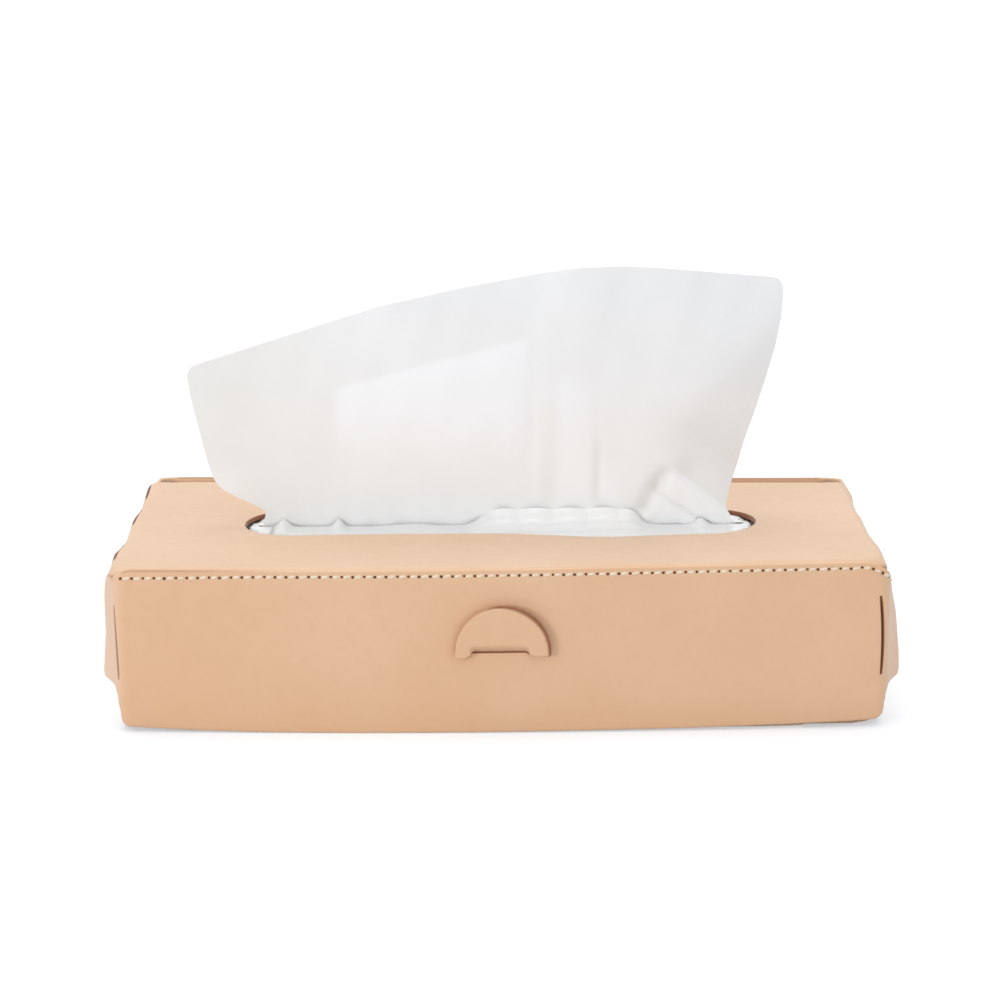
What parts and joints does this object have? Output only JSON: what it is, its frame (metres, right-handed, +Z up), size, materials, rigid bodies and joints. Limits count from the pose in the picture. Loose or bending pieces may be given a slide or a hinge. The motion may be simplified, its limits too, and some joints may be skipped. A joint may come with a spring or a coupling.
{
  "type": "tissue case",
  "caption": "Long low box of folded and stitched leather with a round-ended top opening, a tongue closure on the front flap, and a carton of tissues inside with one tissue drawn up.",
  "frame": {"origin": "on the table, under the middle of the case", "axes": "+X along the length, to the right of someone who faces the tab; the front with its tab faces -Y; +Z up"},
  "size_m": [0.2662, 0.1268, 0.1445],
  "materials": {
    "leather": "satin",
    "thread": "matte",
    "carton_board": "matte",
    "clear_film": "gloss",
    "tissue": "matte"
  },
  "bodies": {
    "case": {"top_cover": "leather", "back_panel": "leather", "bottom_panel": "leather", "back_stitching": "thread", "tissue_carton": "carton_board", "carton_film": "clear_film", "tissue_stack": "tissue"},
    "front_flap": {"front_panel": "leather", "front_flange": "leather", "front_stitching": "thread"},
    "inner_fold": {"inner_flap": "leather", "closure_tongue": "leather"},
    "tissue": {"pulled_tissue": "tissue"}
  },
  "joints": [
    {"name": "front_flap_lift", "type": "hinge", "parent": "case", "child": "front_flap", "pos_m": [0, -0.05995, 0.056], "axis": [-1, 0, 0], "range_deg": [0, 105]},
    {"name": "inner_flap_fold", "type": "hinge", "parent": "case", "child": "inner_fold", "pos_m": [0, -0.05995, 0], "axis": [1, 0, 0], "range_deg": [0, 82], "deforming": ["closure_tongue"]},
    {"name": "tissue_pull", "type": "slide", "parent": "case", "child": "tissue", "axis": [0, 0, 1], "range_m": [0, 0.1]}
  ],
  "couplings": [
    {"joint": "inner_flap_fold", "follows": "front_flap_lift", "ratio": 0.76}
  ]
}
